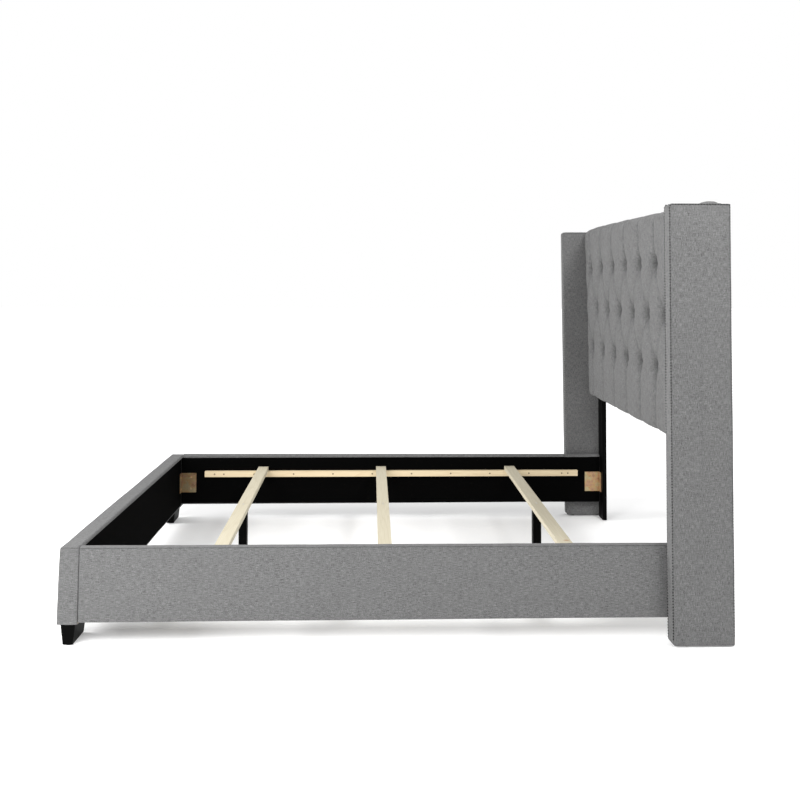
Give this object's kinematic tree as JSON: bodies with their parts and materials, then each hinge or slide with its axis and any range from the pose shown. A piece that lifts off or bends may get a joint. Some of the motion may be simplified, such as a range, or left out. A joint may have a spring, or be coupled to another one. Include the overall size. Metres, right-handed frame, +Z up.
{
  "type": "upholstered wing-back bed",
  "caption": "Queen-size platform bed frame: button-tufted headboard between floor-length wings, low upholstered rails and footboard, slats on ledgers.",
  "frame": {"origin": "on the floor, under the middle of the bed's overall length and width", "axes": "+X towards the headboard, +Y to the left of someone lying in the bed, +Z up"},
  "size_m": [2.192, 1.74, 1.462],
  "materials": {
    "linen": "mid-grey heathered linen-look weave, matt",
    "foam": "open-cell upholstery foam",
    "plywood": "raw plywood",
    "pine": "planed pale pine, unfinished",
    "black_cloth": "black non-woven lining",
    "twine": "waxed upholstery twine",
    "black_wood": "wood painted satin black",
    "zinc": "bright zinc-plated steel",
    "yellow_zinc": "yellow-passivated zinc plate, iridescent",
    "black_plastic": "moulded black plastic"
  },
  "bodies": {
    "frame": {"headboard_board": "plywood", "headboard_top_batten": "pine", "headboard_bottom_batten": "pine", "headboard_middle_stile": "pine", "headboard_foam": "foam", "headboard_cover": "linen", "headboard_dust_cover": "black_cloth", "tuft_buttons": "linen", "button_ties": "twine", "button_anchors": "zinc", "headboard_leg_left": "black_wood", "headboard_leg_right": "black_wood", "wing_frame_left": "plywood", "wing_frame_right": "plywood", "wing_padding_left": "foam", "wing_padding_right": "foam", "wing_cover_left": "linen", "wing_cover_right": "linen", "wing_bolts": "zinc", "wing_barrel_nuts": "zinc", "wing_glides": "black_plastic", "rail_board_left": "plywood", "rail_board_right": "plywood", "rail_padding_left": "foam", "rail_padding_right": "foam", "rail_cover_left": "linen", "rail_cover_right": "linen", "rail_liner_left": "black_cloth", "rail_liner_right": "black_cloth", "ledger_left": "pine", "ledger_right": "pine", "ledger_screws": "zinc", "bracket_foot_left": "yellow_zinc", "bracket_foot_right": "yellow_zinc", "bracket_head_left": "yellow_zinc", "bracket_head_right": "yellow_zinc", "bracket_bolts": "zinc", "footboard_frame": "plywood", "footboard_padding": "foam", "footboard_cover": "linen", "footboard_liner": "black_cloth", "foot_leg_left": "black_wood", "foot_leg_right": "black_wood", "foot_leg_bolts": "zinc", "leg_glides": "black_plastic", "slat_foot": "pine", "slat_middle": "pine", "slat_head": "pine", "slat_screws": "zinc", "centre_leg_foot": "black_wood", "centre_leg_middle": "black_wood", "centre_leg_head": "black_wood", "centre_leg_screws": "zinc", "tee_nuts": "zinc"},
    "level_pad_foot": {"level_pad_foot": "black_plastic"},
    "level_stem_foot": {"level_stem_foot": "zinc"},
    "level_pad_middle": {"level_pad_middle": "black_plastic"},
    "level_stem_middle": {"level_stem_middle": "zinc"},
    "level_pad_head": {"level_pad_head": "black_plastic"},
    "level_stem_head": {"level_stem_head": "zinc"}
  },
  "joints": [
    {"name": "level_travel_foot", "type": "slide", "parent": "frame", "child": "level_pad_foot", "axis": [0, 0, 1], "range_m": [-0.015, 0.01]},
    {"name": "level_turn_foot", "type": "hinge", "parent": "level_pad_foot", "child": "level_stem_foot", "pos_m": [-0.616, 0, 0.003], "axis": [0, 0, 1], "range_deg": [-4320, 2880]},
    {"name": "level_travel_middle", "type": "slide", "parent": "frame", "child": "level_pad_middle", "axis": [0, 0, 1], "range_m": [-0.015, 0.01]},
    {"name": "level_turn_middle", "type": "hinge", "parent": "level_pad_middle", "child": "level_stem_middle", "pos_m": [-0.036, 0, 0.003], "axis": [0, 0, 1], "range_deg": [-4320, 2880]},
    {"name": "level_travel_head", "type": "slide", "parent": "frame", "child": "level_pad_head", "axis": [0, 0, 1], "range_m": [-0.015, 0.01]},
    {"name": "level_turn_head", "type": "hinge", "parent": "level_pad_head", "child": "level_stem_head", "pos_m": [0.607, 0, 0.003], "axis": [0, 0, 1], "range_deg": [-4320, 2880]}
  ],
  "couplings": [
    {"joint": "level_turn_foot", "follows": "level_travel_foot", "rad_per_m": 5026.5},
    {"joint": "level_turn_middle", "follows": "level_travel_middle", "rad_per_m": 5026.5},
    {"joint": "level_turn_head", "follows": "level_travel_head", "rad_per_m": 5026.5}
  ]
}
